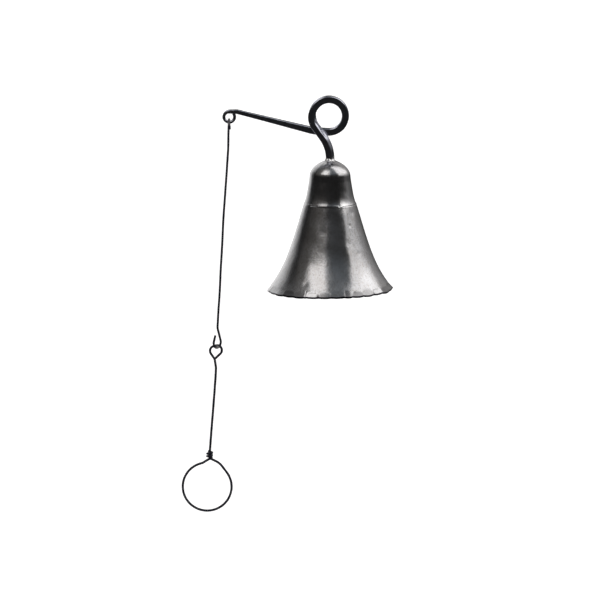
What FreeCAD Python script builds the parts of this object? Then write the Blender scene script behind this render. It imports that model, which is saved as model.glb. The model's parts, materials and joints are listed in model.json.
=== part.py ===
import FreeCAD, Part
import math
import os

# Wall mounted lever bell: a forged bar with a hanging loop carries a steel bell at one end
# and a two-piece wire pull at the other. Millimetres. The origin is the centre of the
# hanging loop, +Z is up, +X points from the loop's centre away from the pull, and the
# front is towards -Y. The loop hangs on a hook or peg in the wall.

Vector = FreeCAD.Vector

# ---- driving dimensions -------------------------------------------------------------------

BAR_SIDE = 7.5             # forged square bar at the loop and the stem
BAR_CORNER = 0.17          # corner radius as a share of the bar's side
LOOP_RADIUS = 17.5         # centre line of the hanging loop
COIL_STEP = 4.5            # half the front-to-back step where the stem crosses the arm
START_TWIST = 6.0          # roll of the bar about its own length, degrees
STEM_TWIST = 36.0

ARM_EYE = (-104.4, -1.65)  # centre of the eye at the arm's end, x and z
ARM_EYE_RADIUS = 5.6       # centre line
ARM_EYE_WIRE = 1.5         # radius of the drawn-out end that forms the eye
ARM_EYE_START = 165.0      # degrees round the eye, from +X
ARM_EYE_SWEEP = 232.0
ARM_EYE_LEAD = 88.0        # how far round the eye the flattened end of the bar runs
ARM_NECK = (-96.6, 3.95)   # where the arm runs out level over the eye
ARM_NECK_BEND = 14.0
ARM_HEEL = (-16.5, -16.2)  # where the arm eases into the loop
ARM_HEEL_BEND = 40.0
ARM_POINT_SIDE = 2.6       # bar side at the very end, on the eye
ARM_TIP_SIDE = 4.6         # bar side where the arm meets the eye
ARM_ROOT_SIDE = 7.1        # bar side at the heel
ARM_TAPER_POWER = 1.25

BELL_X = 2.0               # the bell's axis is vertical through this x
STEM_CORNER = (BELL_X, -32.5)
STEM_BEND = 40.0
STEM_LEAD = 8.0            # length of stem that stays in front before it eases back
STEM_DEPTH = 4.0           # how far the stem's end line runs below the crown's top

SHEET = 1.6                # bell wall
DOME_RADIUS = 22.0         # outside of the round crown
DOME_Z = -68.0             # centre of the crown's round top
SEAM_RADIUS = 27.6         # outside, where crown and skirt meet
SEAM_Z = -92.9
RIM_RADIUS = 65.9          # outside, at the mouth
RIM_Z = -185.8
FLARE_STRAIGHT = 27.2      # growth of radius that runs evenly down the skirt
FLARE_POWER = 4.5          # the rest of the growth gathers near the rim
SEAM_BEAD = 1.15           # radius of the weld bead round the seam
RIM_FLATS = 17             # hammer bites round the rim
RIM_BITE = 0.9             # deepest bite
RIM_TOOL = 34.0            # radius of the hammer face that makes them
RIM_TOOL_REACH = 12.0      # how far in from the rim each bite starts

WELD_RADIUS = 7.2          # weld at the foot of the stem
WELD_HEIGHT = 4.6
WELD_TOE = 1.6             # how far its lower edge lies below the crown's top
WELD_WAIST = 1.7           # how far its hollow side stands off the bar, at half height
WELD_LIP = 0.9             # and at its upper edge

STAPLE_WIRE = 1.5          # radius of the staple's wire
STAPLE_HALF_WIDTH = 5.2
CLAPPER_PIVOT_Z = -64.0
CLAPPER_ROD = 2.0          # radius
CLAPPER_LENGTH = 92.0      # pivot to the middle of the ball
CLAPPER_BALL = 11.0        # radius
CLAPPER_PLAY = 0.4         # gap between its eye and the staple

PULL_WIRE = 1.05           # radius of the upper wire
PULL_LEAN = 3.3            # degrees, towards -X going down
PULL_EYE_RADIUS = 2.95     # centre line, round the arm's eye
PULL_EYE_TAIL = (1.95, -13.2)
PULL_EYE_NECK = (0.0, -18.0, 14.0)
PULL_MIDDLE_Z = -120.0     # between the eye's plane above and the hook's below
HOOK_TURN = 48.0           # the hook's plane, turned about the wire
HOOK_RADIUS = 5.5
HOOK_CENTRE = (0.95, -240.5)
HOOK_KNEE = (0.0, -224.5, 9.0)
HOOK_TIP = (-2.7, -232.7)

RING_WIRE = 1.1            # radius of the lower wire
RING_LEAN = 4.0
HEART_TURN = -25.0         # the heart eye's plane, turned about the wire
HEART_TIP = (-0.8, -11.2)
HEART_RIGHT = (0.9, -2.25, 5.0)
HEART_LEFT = (-2.6, -3.8, 5.2)
HEART_POINT = (-1.9, -12.3, 2.5)
HEART_NECK = (0.0, -21.0, 8.0)
SHANK_MIDDLE_Z = -70.0     # between the heart's plane above and the ring's below
RING_RADIUS = 25.9         # centre line of the pull ring
RING_CENTRE = (-0.3, -149.6)
RING_NECK = (0.0, -118.8, 3.0)
RING_SHOULDER = (11.0, -123.0, 14.0)
RING_LEG_END = (-6.5, -124.2)
WRAP_RADIUS = 2.5          # centre line of the wrapped turns
WRAP_PITCH = 2.75
WRAP_TURNS = 2.6
WRAP_START_Z = -119.0

# ---- flat routes: straight runs joined by tangent arcs ------------------------------------


def ring_segment(x, z, radius, start_degrees, sweep_degrees):
    """An arc, anticlockwise, as one segment: x, z, heading, length, bend."""
    start = math.radians(start_degrees)
    begin_x = x + radius * math.cos(start)
    begin_z = z + radius * math.sin(start)
    length = radius * math.radians(sweep_degrees)
    return (begin_x, begin_z, start + math.pi / 2, length, 1 / radius)


def along(segment, distance):
    """Position and heading at a distance along one segment."""
    x, z, heading, _, bend = segment
    if bend == 0:
        return x + distance * math.cos(heading), z + distance * math.sin(heading), heading
    turned = heading + bend * distance
    next_x = x + (math.sin(turned) - math.sin(heading)) / bend
    next_z = z + (math.cos(heading) - math.cos(turned)) / bend
    return next_x, next_z, turned


def straight_runs(items):
    """The tangent lines from each item to the next, as begin, end and heading."""
    runs = []
    for (x1, z1, radius1, turn1), (x2, z2, radius2, turn2) in zip(items, items[1:]):
        reach = math.hypot(x2 - x1, z2 - z1)
        offset = (turn2 * radius2 - turn1 * radius1) / reach
        heading = math.atan2(z2 - z1, x2 - x1) - math.asin(offset)
        side_x, side_z = -math.sin(heading), math.cos(heading)
        begin = [x1 - turn1 * radius1 * side_x, z1 - turn1 * radius1 * side_z]
        end = [x2 - turn2 * radius2 * side_x, z2 - turn2 * radius2 * side_z]
        runs.append([begin, end, heading])
    return runs


def route(items, lead_degrees=0.0):
    """Segments of a flat route in x and z.

    An item is (x, z, radius, turn). With turn 0 it is a corner, rounded by that radius.
    With turn 1 or -1 it is a circle that the route goes round, anticlockwise or clockwise.
    lead_degrees is how far the route goes round its first circle before it leaves.
    """
    runs = straight_runs(items)
    arcs = []
    for index in range(1, len(items) - 1):
        radius, turn = items[index][2:]
        before, after = runs[index - 1], runs[index]
        swing = (after[2] - before[2] + math.pi) % (2 * math.pi) - math.pi
        if turn == 0:
            turn = 1 if swing > 0 else -1
            trim = radius * math.tan(abs(swing) / 2)
            before[1][0] -= trim * math.cos(before[2])
            before[1][1] -= trim * math.sin(before[2])
            after[0][0] += trim * math.cos(after[2])
            after[0][1] += trim * math.sin(after[2])
        elif swing * turn < 0:
            swing += 2 * math.pi * turn
        arcs.append((before[1], before[2], radius * abs(swing), turn / radius))
    segments = []
    if lead_degrees:
        radius, turn = items[0][2:]
        length = radius * math.radians(lead_degrees)
        (begin_x, begin_z), _, heading = runs[0]
        back = (begin_x, begin_z, heading, -length, turn / radius)
        x, z, heading = along(back, -length)
        segments.append((x, z, heading, length, turn / radius))
    for index, ((begin_x, begin_z), (end_x, end_z), heading) in enumerate(runs):
        length = math.hypot(end_x - begin_x, end_z - begin_z)
        segments.append((begin_x, begin_z, heading, length, 0))
        if index < len(arcs):
            (arc_x, arc_z), heading, length, bend = arcs[index]
            segments.append((arc_x, arc_z, heading, length, bend))
    return segments


def segment_edge(segment):
    """The edge of one segment, in the plane y = 0."""
    length, bend = segment[3:]
    spots = [along(segment, share * length) for share in (0, 0.5, 1)]
    points = [Vector(x, 0, z) for x, z, _ in spots]
    if bend == 0:
        return Part.makeLine(points[0], points[2])
    return Part.Arc(*points).toShape()


def tube(segments, radius):
    """Round wire along a flat route."""
    path = Part.Wire([segment_edge(segment) for segment in segments])
    x, z, heading = along(segments[0], 0)
    ahead = Vector(math.cos(heading), 0, math.sin(heading))
    profile = Part.Wire(Part.makeCircle(radius, Vector(x, 0, z), ahead))
    return path.makePipeShell([profile], True, False)


def rod(begin, end, radius):
    """A straight round length with rounded ends."""
    run = end.sub(begin)
    body = Part.makeCylinder(radius, run.Length, begin, run)
    return body.multiFuse([Part.makeSphere(radius, begin), Part.makeSphere(radius, end)])


def turned(shape, degrees, axis, about=Vector(0, 0, 0)):
    copy = shape.copy()
    copy.rotate(about, axis, degrees)
    return copy


def moved(shape, offset):
    copy = shape.copy()
    copy.translate(offset)
    return copy


def spread(begin, end, count):
    return [begin + (end - begin) * step / (count - 1) for step in range(count)]


AXIS_X = Vector(1, 0, 0)
AXIS_Y = Vector(0, 1, 0)
AXIS_Z = Vector(0, 0, 1)

# ---- lever bar: eye, tapered arm, hanging loop and stem, forged in one --------------------


def square_section(centre, ahead, twist, side, corner_share):
    """Rounded square across the bar. The twist turns its front face outwards."""
    across = AXIS_Y.sub(ahead * AXIS_Y.dot(ahead)).normalize()
    outward = across.cross(ahead)
    roll = math.radians(twist)
    u = outward * math.cos(roll) + across * math.sin(roll)
    v = across * math.cos(roll) - outward * math.sin(roll)
    half = side / 2
    corner = side * corner_share
    flat = half - corner
    edges = []
    for face, beside in ((u, v), (v, -u), (-u, -v), (-v, u)):
        flat_begin = centre + face * half - beside * flat
        flat_end = centre + face * half + beside * flat
        hub = centre + face * flat + beside * flat
        middle = hub + (face + beside).normalize() * corner
        next_begin = centre + beside * half + face * flat
        edges.append(Part.makeLine(flat_begin, flat_end))
        edges.append(Part.Arc(flat_end, middle, next_begin).toShape())
    return Part.Wire(edges)


def ease(share):
    """0 to 1 with level ends."""
    return (1 - math.cos(math.pi * share)) / 2


def ease_slope(share):
    return math.pi * math.sin(math.pi * share) / 2


def lever_route():
    return route(
        [
            (*ARM_EYE, ARM_EYE_RADIUS, -1),
            (*ARM_NECK, ARM_NECK_BEND, 0),
            (*ARM_HEEL, ARM_HEEL_BEND, 0),
            (0.0, 0.0, LOOP_RADIUS, 1),
            (*STEM_CORNER, STEM_BEND, 0),
            (BELL_X, DOME_Z + DOME_RADIUS - STEM_DEPTH, 0, 0),
        ],
        lead_degrees=ARM_EYE_LEAD,
    )


# segments of the lever's route, in order
EYE_ARC, NECK_RUN, NECK_ARC, ARM_RUN, HEEL_ARC, HEEL_RUN, LOOP_ARC, STEM_RUN, STEM_ARC, STEM_FOOT = range(10)
LOOP_SECTIONS = 18


def between(low, high, share):
    return low + (high - low) * share


def bar_stations():
    """Where the bar's sections stand: segment number, share of the segment, side, corner."""
    half_corner = 0.46
    stations = []
    for share in (0.0, 0.16, 0.5, 1.0):
        side = between(ARM_POINT_SIDE, ARM_TIP_SIDE, 0.65 * share ** 0.5)
        stations.append((EYE_ARC, share, side, between(half_corner, 0.26, share)))
    stations.append((NECK_RUN, 1.0, between(ARM_POINT_SIDE, ARM_TIP_SIDE, 0.85), 0.2))
    stations.append((NECK_ARC, 1.0, ARM_TIP_SIDE, BAR_CORNER))
    for share in (0.2, 0.4, 0.6, 0.8, 1.0):
        side = between(ARM_TIP_SIDE, ARM_ROOT_SIDE, share ** ARM_TAPER_POWER)
        stations.append((ARM_RUN, share, side, BAR_CORNER))
    stations.append((HEEL_ARC, 1.0, between(ARM_ROOT_SIDE, BAR_SIDE, 0.5), BAR_CORNER))
    for share in spread(0.0, 1.0, LOOP_SECTIONS + 1):
        stations.append((LOOP_ARC, share, BAR_SIDE, BAR_CORNER))
    for share in (0.45, 1.0):
        stations.append((STEM_RUN, share, BAR_SIDE, BAR_CORNER))
    for share in (0.33, 0.66, 1.0):
        stations.append((STEM_ARC, share, BAR_SIDE, BAR_CORNER))
    stations.append((STEM_FOOT, 1.0, BAR_SIDE, BAR_CORNER))
    return stations


def bar_section_at(segments, number, share, side, corner):
    """One section of the bar, stepped to the back before the loop and to the front after it."""
    segment = segments[number]
    x, z, heading = along(segment, share * segment[3])
    depth, slope, twist = COIL_STEP, 0.0, START_TWIST
    if number == LOOP_ARC:
        depth = COIL_STEP * (1 - 2 * ease(share))
        slope = -2 * COIL_STEP * ease_slope(share) / segment[3]
        twist = START_TWIST + (STEM_TWIST - START_TWIST) * share ** 3
    elif number > LOOP_ARC:
        whole = sum(part[3] for part in segments[STEM_RUN:]) - STEM_LEAD
        gone = sum(part[3] for part in segments[STEM_RUN:number]) + share * segment[3] - STEM_LEAD
        back = max(0.0, gone / whole)
        depth = -COIL_STEP * (1 - ease(back))
        slope = COIL_STEP * ease_slope(back) / whole
        twist = STEM_TWIST
    ahead = Vector(math.cos(heading), slope, math.sin(heading)).normalize()
    return square_section(Vector(x, depth, z), ahead, twist, side, corner)


def make_lever_bar():
    segments = lever_route()
    sections = [bar_section_at(segments, *station) for station in bar_stations()]
    bar = Part.makeLoft(sections, True, False)
    eye = tube([ring_segment(*ARM_EYE, ARM_EYE_RADIUS, ARM_EYE_START, ARM_EYE_SWEEP)], ARM_EYE_WIRE)
    bar = bar.fuse(moved(eye, Vector(0, COIL_STEP, 0)))
    dome = Part.makeSphere(DOME_RADIUS, Vector(BELL_X, 0, DOME_Z))
    return bar.cut(dome)


# ---- bell ---------------------------------------------------------------------------------


def crown_wall_radius(z):
    """Outside of the crown below its round top: nearly straight, then easing outwards."""
    share = max(0.0, (DOME_Z - z) / (DOME_Z - SEAM_Z))
    return DOME_RADIUS + (SEAM_RADIUS - DOME_RADIUS) * (0.62 * share + 0.38 * share ** 2.6)


def skirt_radius(z):
    """Outside of the skirt: an even cone that turns out into a trumpet mouth."""
    share = max(0.0, (SEAM_Z - z) / (SEAM_Z - RIM_Z))
    gathered = RIM_RADIUS - SEAM_RADIUS - FLARE_STRAIGHT
    return SEAM_RADIUS + FLARE_STRAIGHT * share + gathered * share ** FLARE_POWER


def wall_points(radius_at, z_values, inset):
    """Points on a wall, set in square to its surface."""
    step = 0.05
    points = []
    for z in z_values:
        slope = (radius_at(z - step) - radius_at(z + step)) / (2 * step)
        lean = math.atan(slope)
        points.append(Vector(radius_at(z) - inset * math.cos(lean), 0, z - inset * math.sin(lean)))
    return points


def curve(points):
    spline = Part.BSplineCurve()
    spline.interpolate(points)
    return spline.toShape()


def spun(edges):
    """A closed outline turned about the bell's axis."""
    face = Part.Face(Part.Wire(edges))
    solid = face.revolve(Vector(0, 0, 0), AXIS_Z, 360)
    return moved(solid, Vector(BELL_X, 0, 0))


def round_top(radius):
    """Quarter circle from the axis to the crown's widest line."""
    half = radius * math.sqrt(0.5)
    top = Vector(0, 0, DOME_Z + radius)
    return Part.Arc(top, Vector(half, 0, DOME_Z + half), Vector(radius, 0, DOME_Z)).toShape()


def make_crown():
    z_values = spread(DOME_Z, SEAM_Z, 5)
    outside = wall_points(crown_wall_radius, z_values, 0)
    inside = wall_points(crown_wall_radius, z_values, SHEET)
    inside[0] = Vector(DOME_RADIUS - SHEET, 0, DOME_Z)
    edges = [
        round_top(DOME_RADIUS),
        curve(outside),
        Part.makeLine(outside[-1], inside[-1]),
        curve(inside),
        round_top(DOME_RADIUS - SHEET),
        Part.makeLine(Vector(0, 0, DOME_Z + DOME_RADIUS - SHEET), Vector(0, 0, DOME_Z + DOME_RADIUS)),
    ]
    return spun(edges)


def rim_cutters():
    """Hammer faces set radially under the rim, unevenly spaced."""
    cutters = []
    for number in range(RIM_FLATS):
        angle = 360 * number / RIM_FLATS + 4.5 * math.sin(2.3 * number)
        bite = RIM_BITE * (0.55 + 0.45 * math.sin(1.7 * number + 0.6))
        low = RIM_Z - SHEET - RIM_TOOL + bite
        start = Vector(RIM_RADIUS - RIM_TOOL_REACH, 0, low)
        tool = Part.makeCylinder(RIM_TOOL, 2 * RIM_TOOL_REACH, start, AXIS_X)
        cutters.append(moved(turned(tool, angle, AXIS_Z), Vector(BELL_X, 0, 0)))
    return cutters


def make_skirt():
    z_values = spread(SEAM_Z, RIM_Z, 8)
    outside = wall_points(skirt_radius, z_values, 0)
    inside = wall_points(skirt_radius, z_values, SHEET)
    top_inside = wall_points(crown_wall_radius, [SEAM_Z], SHEET)[0]
    inside[0] = top_inside
    edges = [
        curve(outside),
        Part.makeLine(outside[-1], inside[-1]),
        curve(inside),
        Part.makeLine(inside[0], outside[0]),
    ]
    return spun(edges).cut(Part.makeCompound(rim_cutters()))


def make_seam_bead(crown, skirt):
    """Low weld bead that lies on the outside of the joint."""
    ring = Part.makeTorus(SEAM_RADIUS - 0.35, SEAM_BEAD, Vector(BELL_X, 0, SEAM_Z), AXIS_Z)
    bore = Part.makeCylinder(SEAM_RADIUS - SHEET / 2, 8, Vector(BELL_X, 0, SEAM_Z - 4), AXIS_Z)
    return ring.cut(bore).cut(crown).cut(skirt)


def make_stem_weld(bar):
    """Hollow-sided fillet of weld between the stem and the top of the crown."""
    top_z = DOME_Z + DOME_RADIUS
    low = Vector(WELD_RADIUS, 0, top_z - WELD_TOE)
    high = Vector(BAR_SIDE / 2 + WELD_LIP, 0, low.z + WELD_HEIGHT)
    middle = Vector(BAR_SIDE / 2 + WELD_WAIST, 0, (low.z + high.z) / 2)
    root = Vector(WELD_RADIUS, 0, low.z - WELD_HEIGHT / 2)
    edges = [
        Part.makeLine(Vector(0, 0, root.z), root),
        Part.makeLine(root, low),
        Part.Arc(low, middle, high).toShape(),
        Part.makeLine(high, Vector(0, 0, high.z)),
        Part.makeLine(Vector(0, 0, high.z), Vector(0, 0, root.z)),
    ]
    dome = Part.makeSphere(DOME_RADIUS, Vector(BELL_X, 0, DOME_Z))
    return spun(edges).cut(dome).cut(bar)


# ---- clapper ------------------------------------------------------------------------------


def make_staple():
    """U of wire welded under the crown, across the front-to-back line."""
    top = DOME_Z + DOME_RADIUS
    segments = route(
        [
            (-STAPLE_HALF_WIDTH, top, 0, 0),
            (0, CLAPPER_PIVOT_Z + STAPLE_HALF_WIDTH, STAPLE_HALF_WIDTH, 1),
            (STAPLE_HALF_WIDTH, top, 0, 0),
        ]
    )
    wire = turned(tube(segments, STAPLE_WIRE), 90, AXIS_Z)
    hollow = Part.makeSphere(DOME_RADIUS - SHEET, Vector(0, 0, DOME_Z))
    return moved(wire.common(hollow), Vector(BELL_X, 0, 0))


def make_clapper_rod():
    """Rod with a closed eye round the staple."""
    eye_radius = STAPLE_WIRE + CLAPPER_ROD + CLAPPER_PLAY
    eye = Part.makeTorus(eye_radius, CLAPPER_ROD, Vector(BELL_X, 0, CLAPPER_PIVOT_Z), AXIS_Y)
    top = Vector(BELL_X, 0, CLAPPER_PIVOT_Z - eye_radius)
    shank = Part.makeCylinder(CLAPPER_ROD, CLAPPER_LENGTH - eye_radius, top, -AXIS_Z)
    return eye.fuse(shank)


def make_clapper_ball(clapper_rod):
    centre = Vector(BELL_X, 0, CLAPPER_PIVOT_Z - CLAPPER_LENGTH)
    return Part.makeSphere(CLAPPER_BALL, centre).cut(clapper_rod)


# ---- pull: two wires ----------------------------------------------------------------------

HANG_POINT = Vector(ARM_EYE[0], COIL_STEP, ARM_EYE[1])
HOOK_SEAT = Vector(HOOK_CENTRE[0], 0, HOOK_CENTRE[1] - HOOK_RADIUS)


def hang_upper(shape):
    return moved(turned(shape, PULL_LEAN, AXIS_Y), HANG_POINT)


def hook_seat_point():
    """Middle of the wire at the bottom of the hook, in the part's frame."""
    seat = FreeCAD.Rotation(AXIS_Z, HOOK_TURN).multVec(HOOK_SEAT)
    return FreeCAD.Rotation(AXIS_Y, PULL_LEAN).multVec(seat) + HANG_POINT


def hook_axis():
    """Direction of the wire at the bottom of the hook."""
    flat = FreeCAD.Rotation(AXIS_Z, HOOK_TURN).multVec(AXIS_X)
    return FreeCAD.Rotation(AXIS_Y, PULL_LEAN).multVec(flat)


def make_upper_wire():
    """Wire with an eye round the arm's eye and an open hook below."""
    eye = route(
        [
            (*PULL_EYE_TAIL, 0, 0),
            (0.0, -ARM_EYE_RADIUS, PULL_EYE_RADIUS, 1),
            (*PULL_EYE_NECK, 0),
            (0.0, PULL_MIDDLE_Z, 0, 0),
        ]
    )
    hook = route(
        [
            (0.0, PULL_MIDDLE_Z, 0, 0),
            (*HOOK_KNEE, 0),
            (*HOOK_CENTRE, HOOK_RADIUS, -1),
            (*HOOK_TIP, 0, 0),
        ]
    )
    upper = turned(tube(eye, PULL_WIRE), 90, AXIS_Z)
    lower = turned(tube(hook, PULL_WIRE), HOOK_TURN, AXIS_Z)
    return hang_upper(upper.fuse(lower).removeSplitter())


def wrapped_turns():
    """The end of the wire, wound upwards round the shank from the front."""
    helix = Part.makeHelix(WRAP_PITCH, WRAP_PITCH * WRAP_TURNS, WRAP_RADIUS)
    rise = WRAP_PITCH / (2 * math.pi * WRAP_RADIUS)
    ahead = Vector(0, 1, rise).normalize()
    profile = Part.Wire(Part.makeCircle(RING_WIRE, Vector(WRAP_RADIUS, 0, 0), ahead))
    coil = Part.Wire(helix.Edges).makePipeShell([profile], True, True)
    return moved(turned(coil, -90, AXIS_Z), Vector(0, 0, WRAP_START_Z))


def make_lower_wire():
    """Wire with a heart-shaped eye, a shank, a round pull ring and its wrapped end."""
    heart = route(
        [
            (0.0, SHANK_MIDDLE_Z, 0, 0),
            (*HEART_NECK, 0),
            (*HEART_POINT, 0),
            (*HEART_LEFT, -1),
            (*HEART_RIGHT, -1),
            (*HEART_TIP, 0, 0),
        ]
    )
    ring = route(
        [
            (0.0, SHANK_MIDDLE_Z, 0, 0),
            (*RING_NECK, 0),
            (*RING_SHOULDER, 0),
            (*RING_CENTRE, RING_RADIUS, -1),
            (*RING_LEG_END, 0, 0),
        ]
    )
    upper = turned(tube(heart, RING_WIRE), HEART_TURN, AXIS_Z)
    lower = tube(ring, RING_WIRE)
    leg_end = Vector(RING_LEG_END[0], 0, RING_LEG_END[1])
    leg = rod(leg_end, Vector(0, -WRAP_RADIUS, WRAP_START_Z), RING_WIRE)
    whole = lower.multiFuse([upper, leg, wrapped_turns()]).removeSplitter()
    return moved(turned(whole, RING_LEAN, AXIS_Y), hook_seat_point())


# ---- build --------------------------------------------------------------------------------


def build():
    parts = {}
    parts["lever_bar"] = make_lever_bar()
    parts["bell_crown"] = make_crown()
    parts["bell_skirt"] = make_skirt()
    parts["crown_seam_weld"] = make_seam_bead(parts["bell_crown"], parts["bell_skirt"])
    parts["stem_weld"] = make_stem_weld(parts["lever_bar"])
    parts["clapper_staple"] = make_staple()
    parts["clapper_rod"] = make_clapper_rod()
    parts["clapper_ball"] = make_clapper_ball(parts["clapper_rod"])
    parts["upper_pull_wire"] = make_upper_wire()
    parts["lower_pull_wire"] = make_lower_wire()
    return parts


def main():
    os.makedirs("parts", exist_ok=True)
    for name, shape in build().items():
        solid = shape.Solids[0] if len(shape.Solids) == 1 else shape
        solid.exportStep("parts/" + name + ".step")
        box = solid.BoundBox
        low = [round(value, 1) for value in (box.XMin, box.YMin, box.ZMin)]
        high = [round(value, 1) for value in (box.XMax, box.YMax, box.ZMax)]
        print(name, "solids", len(shape.Solids), "valid", solid.isValid(), low, high)
    print("hook seat", hook_seat_point(), "axis", hook_axis())


main()
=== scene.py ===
import json
import math
import random

import bpy
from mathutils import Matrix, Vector, noise


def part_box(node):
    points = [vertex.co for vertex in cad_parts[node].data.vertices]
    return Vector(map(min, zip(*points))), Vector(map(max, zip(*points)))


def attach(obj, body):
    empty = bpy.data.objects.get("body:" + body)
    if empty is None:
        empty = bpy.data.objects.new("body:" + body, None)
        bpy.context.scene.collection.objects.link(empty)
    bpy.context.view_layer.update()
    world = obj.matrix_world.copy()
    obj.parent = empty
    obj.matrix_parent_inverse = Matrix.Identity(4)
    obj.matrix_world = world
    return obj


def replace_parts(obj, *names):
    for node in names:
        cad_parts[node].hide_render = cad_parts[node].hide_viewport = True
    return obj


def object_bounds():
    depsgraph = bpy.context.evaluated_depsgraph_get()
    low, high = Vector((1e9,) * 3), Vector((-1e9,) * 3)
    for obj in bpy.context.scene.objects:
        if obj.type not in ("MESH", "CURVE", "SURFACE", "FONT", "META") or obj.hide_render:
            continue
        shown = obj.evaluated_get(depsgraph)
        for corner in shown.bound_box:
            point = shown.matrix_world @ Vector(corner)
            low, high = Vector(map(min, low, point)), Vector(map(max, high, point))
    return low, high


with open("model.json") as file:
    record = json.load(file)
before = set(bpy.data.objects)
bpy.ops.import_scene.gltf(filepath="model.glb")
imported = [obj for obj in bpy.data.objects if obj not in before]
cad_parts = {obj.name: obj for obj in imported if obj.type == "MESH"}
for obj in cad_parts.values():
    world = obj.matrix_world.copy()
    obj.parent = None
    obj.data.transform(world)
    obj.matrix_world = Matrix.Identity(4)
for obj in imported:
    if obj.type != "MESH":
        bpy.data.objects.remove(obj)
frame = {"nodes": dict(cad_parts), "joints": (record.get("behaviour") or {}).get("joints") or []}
cad_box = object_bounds()
nodes = frame["nodes"]
joints = {joint["name"]: joint for joint in frame["joints"]}

MM = 0.001

# ---- sizes, read from the frame where it holds them ----------------------------------------

skirt_low, skirt_high = (Vector(corner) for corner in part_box("bell_skirt"))
crown_high = Vector(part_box("bell_crown")[1])

HANG_POINT = Vector(joints["upper_pull_swing"]["pos_m"])
HOOK_SEAT = Vector(joints["lower_pull_swing"]["pos_m"])
CLAPPER_PIVOT = Vector(joints["clapper_swing"]["pos_m"])

BELL_X = CLAPPER_PIVOT.x - 0.5 * MM
DOME_TOP = crown_high.z
CAP_RADIUS = 23.4 * MM
CAP_TOP = DOME_TOP - 0.9 * MM
CAP_EDGE = 33.0
SHOULDER_RADIUS = 12.0 * MM
SHOULDER_END = 9.0
WALL_TOP_RADIUS = 22.0 * MM
WALL_TOP_Z = DOME_TOP - 22.0 * MM
SEAM_RADIUS = 27.6 * MM
SEAM_Z = skirt_high.z
# left tip of the rim, where the painted shade along the rim is left out so that its highlight shows
RIM_UNSHADED_TIP = Vector((BELL_X - 67 * MM, 0, skirt_low.z + 2.0 * MM))
# spot on the seam's front right where the bell's colour is lightened: a painted highlight
SEAM_PAINTED_HIGHLIGHT = Vector((BELL_X + 12.5 * MM, -24.5 * MM, SEAM_Z - 0.5 * MM))
RIM_RADIUS = (skirt_high.x - skirt_low.x) / 2
RIM_Z = skirt_low.z + 3.6 * MM
RIM_LIFT = 1.1 * MM
RIM_ROLL = 1.0 * MM
# band along the rim that is painted near black: painted shade on the rolled edge
RIM_PAINTED_SHADE_BAND = 0.5 * MM
SHEET = 1.6 * MM
FLARE_STRAIGHT = 27.2 * MM
FLARE_POWER = 4.5

BAR_SIDE = 7.5 * MM
BAR_CORNER = 0.2
LOOP_RADIUS = 17.5 * MM
COIL_STEP = HANG_POINT.y
START_TWIST = 6.0
CREST_TWIST = -6.0
STEM_TWIST = 37.0
FOOT_TWIST = 28.0
ARM_EYE = (HANG_POINT.x, HANG_POINT.z)
ARM_EYE_RADIUS = 5.6 * MM
ARM_EYE_WIRE = 1.68 * MM
ARM_EYE_LEAD = 88.0
ARM_NECK = (-96.6 * MM, 3.95 * MM)
ARM_NECK_BEND = 14.0 * MM
ARM_HEEL = (-16.5 * MM, -16.2 * MM)
ARM_HEEL_BEND = 40.0 * MM
ARM_POINT_SIDE = 3.2 * MM
ARM_TIP_SIDE = 4.6 * MM
ARM_ROOT_SIDE = 7.1 * MM
ARM_TAPER_POWER = 1.25
STEM_CORNER = (BELL_X, -32.5 * MM)
STEM_BEND = 40.0 * MM
STEM_LEAD = 8.0 * MM

PULL_WIRE = 1.2 * MM
PULL_LEAN = 3.3
PULL_EYE_RADIUS = 2.95 * MM
PULL_EYE_TAIL = (1.95 * MM, -13.2 * MM)
PULL_EYE_NECK = (0.0, -18.0 * MM, 14.0 * MM)
PULL_MIDDLE_Z = -120.0 * MM
HOOK_TURN = 48.0
HOOK_RADIUS = 5.5 * MM
HOOK_CENTRE = (0.95 * MM, -240.5 * MM)
HOOK_KNEE = (0.0, -224.5 * MM, 9.0 * MM)
HOOK_TIP = (-2.7 * MM, -232.7 * MM)

RING_WIRE = 1.26 * MM
RING_LEAN = 4.0
HEART_TURN = -25.0
HEART_TIP = (-0.8 * MM, -11.2 * MM)
HEART_RIGHT = (0.9 * MM, -2.25 * MM, 5.0 * MM)
HEART_LEFT = (-2.6 * MM, -3.8 * MM, 5.2 * MM)
HEART_POINT = (-1.9 * MM, -12.3 * MM, 2.5 * MM)
HEART_NECK = (0.0, -21.0 * MM, 8.0 * MM)
SHANK_MIDDLE_Z = -70.0 * MM
RING_RADIUS = 25.9 * MM
RING_CENTRE = (-0.3 * MM, -149.6 * MM)
RING_NECK = (0.0, -118.8 * MM, 3.0 * MM)
RING_SHOULDER = (11.0 * MM, -123.0 * MM, 19.0 * MM)
RING_LEG_END = (-6.5 * MM, -124.2 * MM)
WRAP_RADIUS = 2.5 * MM
WRAP_PITCH = 2.75 * MM
WRAP_TURNS = 2.6
WRAP_START_Z = -119.0 * MM

# ---- camera and floor ----------------------------------------------------------------------

CAMERA_TARGET = Vector((-30.1 * MM, 0, -195.4 * MM))
CAMERA_ELEVATION = 8.5
CAMERA_DISTANCE = 5.274
CAMERA_LENS_MM = 300
CAMERA_SENSOR_MM = 36
CAMERA_REACH = 50
FLOOR_SIZE = 80.0
FLOOR_DROP = 0.12
FLOOR_TILES = 24

# ---- small helpers -------------------------------------------------------------------------


def smooth_step(low, high, value):
    """0 at low, 1 at high, level at both; low may be the larger."""
    share = min(1.0, max(0.0, (value - low) / (high - low)))
    return share * share * (3 - 2 * share)


def falling(low, high, value):
    return 1 - smooth_step(low, high, value)


def wobble(seed, *place):
    """Smooth noise between about -1 and 1 at a place."""
    padded = list(place) + [0.0] * (3 - len(place))
    return noise.noise(Vector(padded) + Vector((seed * 7.13, seed * 3.71, seed * 1.37))) * 1.6


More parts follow.
